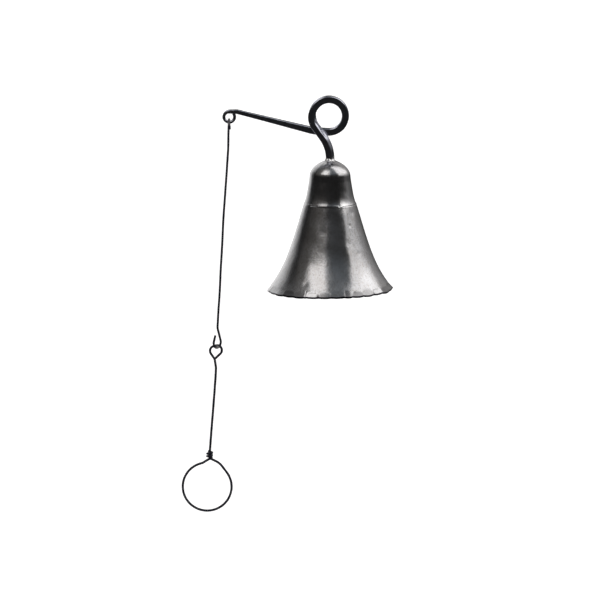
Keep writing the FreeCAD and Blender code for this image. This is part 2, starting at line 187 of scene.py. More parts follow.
def add_mesh(name, points, faces, body, material):
    mesh = bpy.data.meshes.new(name)
    mesh.from_pydata([tuple(point) for point in points], [], faces)
    mesh.validate()
    mesh.update()
    mesh.shade_smooth()
    piece = bpy.data.objects.new(name, mesh)
    bpy.context.scene.collection.objects.link(piece)
    mesh.materials.append(material)
    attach(piece, body)
    return piece


def skin_faces(rings, around, closed_along=False):
    """Quads between rings of points, each ring closed on itself."""
    faces = []
    last = rings if closed_along else rings - 1
    for ring in range(last):
        after = (ring + 1) % rings
        for step in range(around):
            beside = (step + 1) % around
            faces.append((
                ring * around + step, ring * around + beside,
                after * around + beside, after * around + step,
            ))
    return faces


def skin(rings):
    """Points and faces of a closed skin through rings, with a fan at each end."""
    around = len(rings[0])
    points = [point for ring in rings for point in ring]
    faces = skin_faces(len(rings), around)
    for ring_number, outward in ((0, -1), (len(rings) - 1, 1)):
        centre = sum((Vector(point) for point in rings[ring_number]), Vector()) / around
        points.append(centre)
        hub = len(points) - 1
        for step in range(around):
            pair = (ring_number * around + step, ring_number * around + (step + 1) % around)
            faces.append((hub, *pair) if outward > 0 else (hub, *reversed(pair)))
    return points, faces


# ---- flat routes: straight runs joined by tangent arcs -------------------------------------


def along(segment, distance):
    x, z, heading, _, bend = segment
    if bend == 0:
        return x + distance * math.cos(heading), z + distance * math.sin(heading), heading
    turned = heading + bend * distance
    next_x = x + (math.sin(turned) - math.sin(heading)) / bend
    next_z = z + (math.cos(heading) - math.cos(turned)) / bend
    return next_x, next_z, turned


def straight_runs(items):
    runs = []
    for (x1, z1, radius1, turn1), (x2, z2, radius2, turn2) in zip(items, items[1:]):
        reach = math.hypot(x2 - x1, z2 - z1)
        offset = (turn2 * radius2 - turn1 * radius1) / reach
        heading = math.atan2(z2 - z1, x2 - x1) - math.asin(offset)
        side_x, side_z = -math.sin(heading), math.cos(heading)
        begin = [x1 - turn1 * radius1 * side_x, z1 - turn1 * radius1 * side_z]
        end = [x2 - turn2 * radius2 * side_x, z2 - turn2 * radius2 * side_z]
        runs.append([begin, end, heading])
    return runs


def route(items, lead_degrees=0.0):
    """Segments of a flat route: (x, z, heading, length, bend).

    An item is (x, z, radius, turn): a rounded corner with turn 0, or a circle that the
    route goes round, anticlockwise with turn 1 and clockwise with turn -1.
    """
    runs = straight_runs(items)
    arcs = []
    for index in range(1, len(items) - 1):
        radius, turn = items[index][2:]
        before, after = runs[index - 1], runs[index]
        swing = (after[2] - before[2] + math.pi) % (2 * math.pi) - math.pi
        if turn == 0:
            turn = 1 if swing > 0 else -1
            trim = radius * math.tan(abs(swing) / 2)
            before[1][0] -= trim * math.cos(before[2])
            before[1][1] -= trim * math.sin(before[2])
            after[0][0] += trim * math.cos(after[2])
            after[0][1] += trim * math.sin(after[2])
        elif swing * turn < 0:
            swing += 2 * math.pi * turn
        arcs.append((before[1], before[2], radius * abs(swing), turn / radius))
    segments = []
    if lead_degrees:
        radius, turn = items[0][2:]
        length = radius * math.radians(lead_degrees)
        (begin_x, begin_z), _, heading = runs[0]
        x, z, heading = along((begin_x, begin_z, heading, -length, turn / radius), -length)
        segments.append((x, z, heading, length, turn / radius))
    for index, ((begin_x, begin_z), (end_x, end_z), heading) in enumerate(runs):
        length = math.hypot(end_x - begin_x, end_z - begin_z)
        segments.append((begin_x, begin_z, heading, length, 0))
        if index < len(arcs):
            (arc_x, arc_z), heading, length, bend = arcs[index]
            segments.append((arc_x, arc_z, heading, length, bend))
    return segments


def route_points(segments, spacing):
    """Evenly spaced points along a flat route, in the plane y = 0."""
    points = []
    for segment in segments:
        steps = max(2, math.ceil(segment[3] / spacing))
        if segment[4]:
            steps = max(steps, math.ceil(abs(segment[3] * segment[4]) / math.radians(6)))
        for step in range(steps):
            x, z, _ = along(segment, segment[3] * step / steps)
            points.append(Vector((x, 0, z)))
    x, z, _ = along(segments[-1], segments[-1][3])
    points.append(Vector((x, 0, z)))
    return points


def turn_about_z(points, degrees):
    angle = math.radians(degrees)
    cosine, sine = math.cos(angle), math.sin(angle)
    return [Vector((p.x * cosine - p.y * sine, p.x * sine + p.y * cosine, p.z)) for p in points]


def lean_and_hang(points, degrees, hang):
    angle = math.radians(degrees)
    cosine, sine = math.cos(angle), math.sin(angle)
    return [Vector((p.x * cosine + p.z * sine, p.y, p.z * cosine - p.x * sine)) + hang for p in points]


# ---- round wire ----------------------------------------------------------------------------

WIRE_SIDES = 20
WIRE_SPACING = 1.2 * MM
WIRE_UNEVENNESS = 0.035
WIRE_END_ROUND = 0.35


def wire_rings(points, radius, seed):
    """Rings round a wire that follows points, with softened cut ends and a hand-worked surface."""
    total = [0.0]
    for before, after in zip(points, points[1:]):
        total.append(total[-1] + (after - before).length)
    reference = Vector((0.31, 0.95, 0.17)).normalized()
    rings = []
    for index, point in enumerate(points):
        ahead = points[min(index + 1, len(points) - 1)] - points[max(index - 1, 0)]
        ahead.normalize()
        side = reference - ahead * reference.dot(ahead)
        side.normalize()
        reference = side
        over = ahead.cross(side)
        ring = []
        for step in range(WIRE_SIDES):
            angle = 2 * math.pi * step / WIRE_SIDES
            worked = wobble(seed, total[index] / (4 * MM), math.cos(angle), math.sin(angle))
            flat = 1 + WIRE_UNEVENNESS * worked
            ring.append(point + (side * math.cos(angle) + over * math.sin(angle)) * radius * flat)
        rings.append(ring)
    caps = []
    for ring, point, inner in ((rings[0], points[0], points[1]), (rings[-1], points[-1], points[-2])):
        outward = (point - inner).normalized() * radius * WIRE_END_ROUND
        for share in (0.55, 1.0):
            shrink = 1 - WIRE_END_ROUND * share * share
            caps.append([point + (corner - point) * shrink + outward * share for corner in ring])
    return [caps[1], caps[0], *rings, caps[2], caps[3]]


# ---- materials -----------------------------------------------------------------------------


class Shader:
    """A metal's node tree, built up a step at a time."""

    def __init__(self, name, base, roughness, metallic=1.0):
        self.material = bpy.data.materials.new(name)
        self.material.use_nodes = True
        self.tree = self.material.node_tree
        self.surface = self.tree.nodes["Principled BSDF"]
        self.surface.inputs["Metallic"].default_value = metallic
        self.surface.inputs["Base Color"].default_value = (*base, 1)
        self.surface.inputs["Roughness"].default_value = roughness
        self.place = self.tree.nodes.new("ShaderNodeTexCoord").outputs["Object"]

    def feed(self, socket, value):
        if isinstance(value, bpy.types.NodeSocket):
            self.tree.links.new(value, socket)
        else:
            socket.default_value = value

    def stretched(self, scale):
        mapping = self.tree.nodes.new("ShaderNodeMapping")
        mapping.inputs["Scale"].default_value = scale
        self.feed(mapping.inputs["Vector"], self.place)
        return mapping.outputs["Vector"]

    def cloud(self, scale, detail=4.0, rough=0.55, stretch=None):
        """Noise between 0 and 1."""
        place = self.stretched(stretch) if stretch else self.place
        made = self.tree.nodes.new("ShaderNodeTexNoise")
        self.feed(made.inputs["Vector"], place)
        made.inputs["Scale"].default_value = scale
        made.inputs["Detail"].default_value = detail
        made.inputs["Roughness"].default_value = rough
        return made.outputs["Fac"]

    def span(self, value, low, high, out_low=0.0, out_high=1.0):
        made = self.tree.nodes.new("ShaderNodeMapRange")
        self.feed(made.inputs["Value"], value)
        made.inputs["From Min"].default_value = low
        made.inputs["From Max"].default_value = high
        made.inputs["To Min"].default_value = out_low
        made.inputs["To Max"].default_value = out_high
        return made.outputs["Result"]

    def math(self, operation, first, second):
        made = self.tree.nodes.new("ShaderNodeMath")
        made.operation = operation
        self.feed(made.inputs[0], first)
        self.feed(made.inputs[1], second)
        return made.outputs["Value"]

    def mix(self, share, first, second):
        made = self.tree.nodes.new("ShaderNodeMix")
        made.data_type = "RGBA"
        self.feed(made.inputs["Factor"], share)
        sockets = [socket for socket in made.inputs if socket.type == "RGBA"]
        for socket, value in zip(sockets, (first, second)):
            self.feed(socket, (*value, 1) if isinstance(value, tuple) else value)
        return next(socket for socket in made.outputs if socket.type == "RGBA")

    def bump(self, height, strength, distance, before=None):
        made = self.tree.nodes.new("ShaderNodeBump")
        made.inputs["Strength"].default_value = strength
        made.inputs["Distance"].default_value = distance
        self.feed(made.inputs["Height"], height)
        if before:
            self.feed(made.inputs["Normal"], before)
        return made.outputs["Normal"]

    def near(self, spot, reach):
        """1 at a spot, falling to 0 at the reach."""
        made = self.tree.nodes.new("ShaderNodeVectorMath")
        made.operation = "DISTANCE"
        self.feed(made.inputs[0], self.place)
        made.inputs[1].default_value = spot
        return self.span(made.outputs["Value"], 0.35 * reach, reach, 1.0, 0.0)

    def finish(self, colour=None, roughness=None, normal=None):
        for name, value in (("Base Color", colour), ("Roughness", roughness), ("Normal", normal)):
            if value is not None:
                self.feed(self.surface.inputs[name], value)
        return self.material


def bell_steel():
    """Dark burnished sheet: cloudy heat colour, planishing marks, streaks and scratches, dark scale in the
    hammer blows, a painted highlight near the seam's front right, and painted shade along the rolled rim
    except at its left tip.
    """
    shader = Shader("bell_steel", (0.4, 0.4, 0.41), 0.22)
    clouds = shader.cloud(38.0, 5.0, 0.6)
    fine = shader.cloud(520.0, 4.0, 0.65)
    streaks = shader.cloud(75.0, 5.0, 0.6, (7.0, 7.0, 0.6))
    rings = shader.cloud(60.0, 4.0, 0.6, (0.8, 0.8, 9.0))
    specks = shader.cloud(900.0, 2.0, 0.5)
    colour = shader.mix(shader.span(clouds, 0.3, 0.72), (0.335, 0.33, 0.33), (0.47, 0.475, 0.49))
    colour = shader.mix(shader.span(streaks, 0.48, 0.72, 0.0, 0.6), colour, (0.3, 0.28, 0.26))
    colour = shader.mix(shader.span(specks, 0.59, 0.7, 0.0, 0.6), colour, (0.16, 0.15, 0.145))
    grain = shader.span(fine, 0.3, 0.6, 0.5, 1.0)
    # painted highlight: the colour turns light near a spot on the seam's front right
    seam_painted_highlight = shader.math("MULTIPLY", shader.near(SEAM_PAINTED_HIGHLIGHT, 10.0 * MM), grain)
    colour = shader.mix(seam_painted_highlight, colour, (0.8, 0.79, 0.79))
    # painted shade: near black along the rolled rim, left out near its left tip; the same attribute also
    # carries the dark scale in the hammer blows
    unshaded_tip = shader.near(RIM_UNSHADED_TIP, 16.0 * MM)
    edge = shader.tree.nodes.new("ShaderNodeAttribute")
    edge.attribute_name = "scale_and_painted_shade"
    scale = shader.math("MULTIPLY", edge.outputs["Fac"], shader.math("SUBTRACT", 1.0, unshaded_tip))
    colour = shader.mix(scale, colour, (0.02, 0.02, 0.024))
    smears = shader.span(clouds, 0.25, 0.75, 0.15, 0.25)
    roughness = shader.math("ADD", smears, shader.span(fine, 0.3, 0.7, -0.03, 0.05))
    normal = shader.bump(shader.cloud(110.0, 2.0, 0.5), 0.5, 0.00016)
    normal = shader.bump(shader.cloud(260.0, 3.0, 0.55), 0.35, 0.00007, normal)
    normal = shader.bump(streaks, 0.3, 0.00009, normal)
    normal = shader.bump(rings, 0.25, 0.00007, normal)
    normal = shader.bump(fine, 0.4, 0.00003, normal)
    return shader.finish(colour, roughness, normal)


def forged_iron():
    """Blackened, waxed iron with scuffed, lighter high spots."""
    shader = Shader("forged_iron", (0.3, 0.3, 0.31), 0.3)
    clouds = shader.cloud(140.0, 5.0, 0.6)
    scale_marks = shader.cloud(700.0, 4.0, 0.65)
    colour = shader.mix(shader.span(clouds, 0.35, 0.7), (0.33, 0.34, 0.39), (0.53, 0.545, 0.6))
    colour = shader.mix(shader.span(scale_marks, 0.58, 0.72, 0.0, 0.6), colour, (0.16, 0.16, 0.17))
    roughness = shader.span(scale_marks, 0.3, 0.7, 0.12, 0.25)
    normal = shader.bump(clouds, 0.5, 0.0002)
    normal = shader.bump(scale_marks, 0.4, 0.00005, normal)
    return shader.finish(colour, roughness, normal)


def weld_metal():
    shader = Shader("weld_metal", (0.55, 0.55, 0.56), 0.25)
    ripple = shader.cloud(500.0, 3.0, 0.6)
    colour = shader.mix(shader.span(ripple, 0.35, 0.7), (0.4, 0.4, 0.41), (0.88, 0.87, 0.86))
    normal = shader.bump(ripple, 0.5, 0.0002)
    return shader.finish(colour, shader.span(ripple, 0.3, 0.7, 0.16, 0.36), normal)


def clapper_steel():
    shader = Shader("clapper_steel", (0.2, 0.2, 0.21), 0.38)
    clouds = shader.cloud(160.0, 5.0, 0.6)
    colour = shader.mix(shader.span(clouds, 0.35, 0.7), (0.12, 0.12, 0.125), (0.28, 0.28, 0.29))
    normal = shader.bump(clouds, 0.4, 0.0002)
    return shader.finish(colour, shader.span(clouds, 0.3, 0.7, 0.3, 0.45), normal)


def black_wire():
    """Annealed wire: a thin black scale, scuffed bright where it hangs on other metal."""
    shader = Shader("black_wire", (0.02, 0.02, 0.025), 0.5, 0.0)
    clouds = shader.cloud(260.0, 4.0, 0.6)
    colour = shader.mix(shader.span(clouds, 0.4, 0.75), (0.008, 0.008, 0.015), (0.032, 0.032, 0.048))
    eye_wear = shader.near(HANG_POINT - Vector((0, 0, ARM_EYE_RADIUS)), 5.0 * MM)
    seat_wear = shader.near(HOOK_SEAT, 4.0 * MM)
    wear = shader.math("MULTIPLY", shader.math("ADD", eye_wear, seat_wear), shader.span(clouds, 0.3, 0.55))
    colour = shader.mix(wear, colour, (0.55, 0.54, 0.53))
    shader.feed(shader.surface.inputs["Metallic"], wear)
    shader.surface.inputs["Specular IOR Level"].default_value = 0.2
    normal = shader.bump(clouds, 0.35, 0.00008)
    return shader.finish(colour, shader.span(clouds, 0.3, 0.7, 0.36, 0.55), normal)


MATERIALS = {
    "bell_steel": bell_steel(),
    "forged_iron": forged_iron(),
    "weld_metal": weld_metal(),
    "clapper_steel": clapper_steel(),
    "black_wire": black_wire(),
}

# ---- bell ----------------------------------------------------------------------------------

BELL_STEPS = 480
SKIRT_RINGS = 130
SKIRT_GATHER = 1.5
CROWN_WALL_RINGS = 40
CAP_RINGS = 24
SHOULDER_RINGS = 12
ROLL_RINGS = 12
ROLL_TURN = 190
RIM_BAND = 9.5 * MM


def crown_wall_radius(z):
    share = max(0.0, (WALL_TOP_Z - z) / (WALL_TOP_Z - SEAM_Z))
    return WALL_TOP_RADIUS + (SEAM_RADIUS - WALL_TOP_RADIUS) * (0.7 * share + 0.3 * share ** 5)


def skirt_radius(z):
    share = max(0.0, (SEAM_Z - z) / (SEAM_Z - RIM_Z))
    gathered = RIM_RADIUS - SEAM_RADIUS - FLARE_STRAIGHT
    return SEAM_RADIUS + FLARE_STRAIGHT * share + gathered * share ** FLARE_POWER


def wall_profile(radius_at, top, bottom, count, gather=1.0):
    """Outside wall points (radius, z, lean), from top to bottom."""
    step = 0.05 * MM
    profile = []
    for number in range(count):
        share = number / (count - 1)
        share = 1 - (1 - share) ** gather
        z = top + (bottom - top) * share
        slope = (radius_at(z - step) - radius_at(z + step)) / (2 * step)
        profile.append((radius_at(z), z, math.atan(slope)))
    return profile


def crown_profile():
    """Domed cap, a rounded shoulder and the crown's wall: outside points (radius, z, lean)."""
    profile = []
    cap_z = CAP_TOP - CAP_RADIUS
    for number in range(1, CAP_RINGS + 1):
        angle = math.radians(90 + (CAP_EDGE - 90) * number / CAP_RINGS)
        profile.append((CAP_RADIUS * math.cos(angle), cap_z + CAP_RADIUS * math.sin(angle), angle))
    edge_radius, edge_z, edge_angle = profile[-1]
    for number in range(1, SHOULDER_RINGS + 1):
        angle = math.radians(CAP_EDGE + (SHOULDER_END - CAP_EDGE) * number / SHOULDER_RINGS)
        profile.append((
            edge_radius + SHOULDER_RADIUS * (math.cos(angle) - math.cos(edge_angle)),
            edge_z + SHOULDER_RADIUS * (math.sin(angle) - math.sin(edge_angle)), angle,
        ))
    radius, z, angle = profile[-1]
    for number in range(1, 6):
        share = number / 6
        profile.append((radius + (WALL_TOP_RADIUS - radius) * share, z + (WALL_TOP_Z - z) * share, angle))
    return profile + wall_profile(crown_wall_radius, WALL_TOP_Z, SEAM_Z, CROWN_WALL_RINGS)


# azimuth in degrees (0 faces the viewer), height, size, depth
DENTS = [
    (-27, -171.0 * MM, 3.2 * MM, 0.24 * MM),
    (38, -113.0 * MM, 1.5 * MM, 0.16 * MM),
    (30, -131.0 * MM, 3.2 * MM, 0.14 * MM),
    (44, -142.0 * MM, 2.2 * MM, 0.14 * MM),
    (-12, -119.0 * MM, 4.0 * MM, 0.12 * MM),
    (34, -158.0 * MM, 2.6 * MM, 0.14 * MM),
    (52, -100.0 * MM, 2.4 * MM, 0.16 * MM),
    (40, -78.0 * MM, 3.0 * MM, 0.16 * MM),
    (150, -125.0 * MM, 3.4 * MM, 0.3 * MM),
    (-120, -150.0 * MM, 3.0 * MM, 0.3 * MM),
]


def rim_lobes():
    """Hammer blows round the rim: centre, half width (radians), height, depth, tilt, twist, scale.

    Height, depth and scale are shares. The first blows face the viewer; the rest are drawn by chance.
    """
    draw = random.Random(11)
    edges = [-78, -62, -49, -37, -24, -10.5, 1, 13, 21, 32, 44, 57, 72, 90]
    depths = [0.4, 0.5, 0.4, 0.5, 0.45, 0.25, 0.3, 0.5, 0.6, 0.8, 0.7, 0.9, 0.6]
    tilts = [-0.3, 0.3, -0.4, 0.2, -0.95, 0.1, -0.1, 0.3, 0.5, 0.4, -0.6, 0.5, -0.4]
    twists = [0.5, -0.8, 0.6, -0.4, 0.3, -0.6, 0.2, 1.6, 2.8, -0.6, 0.8, -1.5, 1.0]
    scales = [0.2, 0.0, 0.3, 0.1, 0.0, 0.1, 0.15, 0.4, 0.5, 0.3, 0.1, 0.45, 0.2]
    blows = list(zip(edges, edges[1:], depths, tilts, twists, scales))
    begin = edges[-1]
    while begin < edges[0] + 360:
        end = begin + draw.uniform(10, 17)
        if end > edges[0] + 352:
            end = edges[0] + 360
        depth_and_tilt = (draw.uniform(0.3, 0.9), draw.uniform(-0.5, 0.9))
        twist_and_scale = (draw.uniform(-1, 1), draw.uniform(0, 0.4))
        blows.append((begin, end, *depth_and_tilt, *twist_and_scale))
        begin = end
    lobes = []
    for begin, end, *blow in blows:
        centre = math.radians((begin + end) / 2 - 90)
        half = math.radians(end - begin) / 2
        lobes.append((centre, half, draw.uniform(0.72, 1.05), *blow))
    return lobes


LOBES = rim_lobes()


def lobe_at(angle):
    """The hammer blow that holds an angle, and where in it from -1 to 1."""
    for lobe in LOBES:
        offset = (angle - lobe[0] + math.pi) % (2 * math.pi) - math.pi
        if abs(offset) <= lobe[1]:
            return lobe, offset / lobe[1]
    return LOBES[0], 0.0


def blow_reach(lobe, across):
    """How far above the rim a hammer blow reaches: an arch over its width."""
    height = lobe[2]
    return RIM_BAND * (0.45 + (height - 0.45) * math.sqrt(max(0.0, 1 - across * across)))


def blow_scale(angle, from_rim):
    """How much dark scale a hammer blow has left at a place near the rim, 0 to 1."""
    lobe, across = lobe_at(angle)
    reach = blow_reach(lobe, across)
    return lobe[-1] * falling(reach * 0.6, reach, from_rim)


def bell_shape(radius, z, lean, angle, from_rim):
    """A bell wall point moved by the hand work: returns radius, z."""
    out = 0.22 * MM * wobble(1, math.cos(angle) * 1.3, math.sin(angle) * 1.3, z / (45 * MM))
    out += 0.07 * MM * wobble(2, math.cos(angle) * 5, math.sin(angle) * 5, z / (14 * MM))
    for azimuth, height, size, depth in DENTS:
        aside = radius * ((angle - math.radians(azimuth - 90) + math.pi) % (2 * math.pi) - math.pi)
        apart = (aside * aside + (z - height) ** 2) / (size * size)
        if apart < 9:
            out -= depth * math.exp(-apart)
    down = 0.0
    if from_rim is not None and from_rim < 1.6 * RIM_BAND:
        lobe, across = lobe_at(angle)
        depth, tilt, twist = lobe[3:6]
        reach = blow_reach(lobe, across)
        inside = falling(reach * 0.6, reach, from_rim)
        side = 1 - across ** 4
        press = inside * side * (0.11 * tilt * (reach - from_rim) + 0.16 * MM * twist * across)
        press -= inside * 0.34 * MM * depth * side
        radius += press / math.cos(lean)
        drop = 1.1 * MM * (0.3 + 0.6 * depth) * (1 - across * across) - 0.45 * MM
        down = inside * falling(0, reach, from_rim) * drop
    radius += out * math.cos(lean) + down * math.sin(lean)
    z += out * math.sin(lean) - down * math.cos(lean)
    return radius, z


def bell_ring(radius, z, lean, inset, from_rim, shape_lean=None):
    """One ring of points round the bell."""
    ring = []
    for step in range(BELL_STEPS):
        angle = 2 * math.pi * step / BELL_STEPS
        work_lean = lean if shape_lean is None else shape_lean
        shaped_radius, shaped_z = bell_shape(radius, z, work_lean, angle, from_rim)
        shaped_radius -= inset * math.cos(lean)
        shaped_z -= inset * math.sin(lean)
        if from_rim is not None:
            shaped_z += RIM_LIFT * math.cos(angle) * smooth_step(SEAM_Z, RIM_Z, z)
        ring.append(Vector((
            BELL_X + shaped_radius * math.cos(angle), shaped_radius * math.sin(angle), shaped_z,
        )))
    return ring


def profile_lengths(profile):
    """Distance of each profile point from the last one, along the profile."""
    lengths = [0.0]
    for (radius1, z1, _), (radius2, z2, _) in zip(reversed(profile), list(reversed(profile))[1:]):
        lengths.append(lengths[-1] + math.hypot(radius2 - radius1, z2 - z1))
    return list(reversed(lengths))


def make_skirt():
    """The skirt, with a point attribute for the painted shade along its rolled rim and for the dark scale
    in the hammer blows.
    """
    profile = wall_profile(skirt_radius, SEAM_Z, RIM_Z, SKIRT_RINGS, SKIRT_GATHER)
    lengths = profile_lengths(profile)
    rings = [bell_ring(*spot, 0, far) for spot, far in zip(profile, lengths)]
    edge_begin = sum(far > RIM_PAINTED_SHADE_BAND for far in lengths) * BELL_STEPS
    radius, z, lean = profile[-1]
    roll_radius = radius - RIM_ROLL * math.cos(lean)
    roll_z = z - RIM_ROLL * math.sin(lean)
    for number in range(1, ROLL_RINGS + 1):
        angle = lean - math.radians(ROLL_TURN) * number / ROLL_RINGS
        radius = roll_radius + RIM_ROLL * math.cos(angle)
        rings.append(bell_ring(radius, roll_z + RIM_ROLL * math.sin(angle), angle, 0, 0.0, lean))
    edge_end = len(rings) * BELL_STEPS
    for spot, far in list(zip(profile, lengths))[-2::-2]:
        rings.append(bell_ring(*spot, SHEET, far))
    points = [point for ring in rings for point in ring]
    faces = [tuple(reversed(face)) for face in skin_faces(len(rings), BELL_STEPS, True)]
    shell = add_mesh("skirt_shell", points, faces, "bell_lever", MATERIALS["bell_steel"])
    # 1 on the rolled rim (painted shade); above it, the hammer blows' dark scale
    edge = shell.data.attributes.new("scale_and_painted_shade", "FLOAT", "POINT")
    for number in range(edge_end):
        angle = 2 * math.pi * (number % BELL_STEPS) / BELL_STEPS
        ring_number = number // BELL_STEPS
        from_rim = lengths[ring_number] if ring_number < len(lengths) else 0.0
        edge.data[number].value = 1.0 if number >= edge_begin else blow_scale(angle, from_rim)
    return shell


def make_crown():
    profile = crown_profile()
    outer = [bell_ring(*spot, 0, None) for spot in profile]
    inner = [bell_ring(*spot, SHEET, None) for spot in reversed(profile)]
    rings = outer + inner
    points = [point for ring in rings for point in ring]
    faces = [tuple(reversed(face)) for face in skin_faces(len(rings), BELL_STEPS)]
    last = (len(rings) - 1) * BELL_STEPS
    for first_point, inside, tip_z in ((0, False, CAP_TOP), (last, True, CAP_TOP - SHEET)):
        points.append(Vector((BELL_X, 0, tip_z)))
        hub = len(points) - 1
        for step in range(BELL_STEPS):
            pair = (first_point + step, first_point + (step + 1) % BELL_STEPS)
            faces.append((hub, *reversed(pair)) if inside else (hub, *pair))
    return add_mesh("crown_shell", points, faces, "bell_lever", MATERIALS["bell_steel"])


SEAM_SIDES = 12
SEAM_LEAN = 15
SEAM_TILT = 17
SEAM_PROUD = 0.7 * MM
SEAM_HALF_HEIGHT = 1.5 * MM
SEAM_SUNK = 0.1 * MM
SEAM_LEAST = 0.12
SEAM_DIP_ANGLE = 315
SEAM_DIP_WIDTH = 0.4


def make_seam():
    """Low bead round the seam, ground down unevenly, with one dip at the front right."""
    rings = []
    for step in range(BELL_STEPS):
        angle = 2 * math.pi * step / BELL_STEPS
        radius, z = bell_shape(SEAM_RADIUS, SEAM_Z, math.radians(SEAM_LEAN), angle, None)
        proud = 0.2 + 0.6 * wobble(5, math.cos(angle) * 2.2, math.sin(angle) * 2.2)
        proud += 0.12 * wobble(6, math.cos(angle) * 16, math.sin(angle) * 16)
        z += 0.8 * MM * wobble(7, math.cos(angle) * 2, math.sin(angle) * 2)
        z -= 1.3 * MM * math.exp(-((angle - math.radians(SEAM_DIP_ANGLE)) / SEAM_DIP_WIDTH) ** 2)
        ring = []
        for corner in range(SEAM_SIDES):
            turn = 2 * math.pi * corner / SEAM_SIDES
            out = SEAM_PROUD * math.cos(turn) * min(1.0, max(SEAM_LEAST, proud)) - SEAM_SUNK
            up = SEAM_HALF_HEIGHT * math.sin(turn)
            out -= up * math.tan(math.radians(SEAM_TILT))
            ring.append(Vector((
                BELL_X + (radius + out) * math.cos(angle), (radius + out) * math.sin(angle), z + up,
            )))
        rings.append(ring)
    points = [point for ring in rings for point in ring]
    faces = [tuple(reversed(face)) for face in skin_faces(len(rings), SEAM_SIDES, True)]
    return add_mesh("seam_bead", points, faces, "bell_lever", MATERIALS["bell_steel"])


# ---- lever bar -----------------------------------------------------------------------------

BAR_POINTS = 40
BAR_SPACING = 0.9 * MM
EYE_START = 170
EYE_TURN = 227
EYE_STEPS = 60


def ease(share):
    return (1 - math.cos(math.pi * share)) / 2


def ease_slope(share):
    return math.pi * math.sin(math.pi * share) / 2


def between(low, high, share):
    return low + (high - low) * share


# segments of the lever's route, in order
EYE_ARC, NECK_RUN, NECK_ARC, ARM_RUN, HEEL_ARC = range(5)
HEEL_RUN, LOOP_ARC, STEM_RUN, STEM_ARC, STEM_FOOT = range(5, 10)


def bar_side(number, share):
    """Side and corner share of the bar at a share of one route segment."""
    if number == EYE_ARC:
        return between(ARM_POINT_SIDE, ARM_TIP_SIDE, 0.65 * share), between(0.46, 0.3, share)
    if number == NECK_RUN:
        side = between(ARM_POINT_SIDE, ARM_TIP_SIDE, between(0.65, 0.85, share))
        return side, between(0.3, 0.25, share)
    if number == NECK_ARC:
        side = between(ARM_POINT_SIDE, ARM_TIP_SIDE, between(0.85, 1, share))
        return side, between(0.25, BAR_CORNER, share)
    if number == ARM_RUN:
        return between(ARM_TIP_SIDE, ARM_ROOT_SIDE, share ** ARM_TAPER_POWER), BAR_CORNER
    if number in (HEEL_ARC, HEEL_RUN):
        begin = 0.5 * (number - HEEL_ARC)
        return between(ARM_ROOT_SIDE, BAR_SIDE, begin + 0.5 * share), BAR_CORNER
    return BAR_SIDE, BAR_CORNER


def bar_section(centre, ahead, twist, side, corner_share, travelled):
    """One rounded-square ring of the bar, its four faces pressed by the hammer."""
    across = Vector((0, 1, 0)) - ahead * ahead.y
    across.normalize()
    outward = across.cross(ahead)
    roll = math.radians(twist)
    u = outward * math.cos(roll) + across * math.sin(roll)
    v = across * math.cos(roll) - outward * math.sin(roll)
    half = side / 2
    corner = side * corner_share
    ring = []
    per_side = BAR_POINTS // 4
    for quarter, (face, beside) in enumerate(((u, v), (v, -u), (-u, -v), (-v, u))):
        blow = wobble(10 + quarter, travelled / (7.5 * MM))
        press = 0.16 * MM * blow
        flat = half - corner
        for step in range(per_side):
            share = step / per_side
            if share < 0.6:
                reach = -flat + 2 * flat * share / 0.6
                spot = face * (half + press * (1 - (reach / half) ** 2)) + beside * reach
            else:
                turn = math.pi / 2 * (share - 0.6) / 0.4
                spot = face * (flat + corner * math.cos(turn)) + beside * (flat + corner * math.sin(turn))
            ring.append(centre + spot)
    return ring


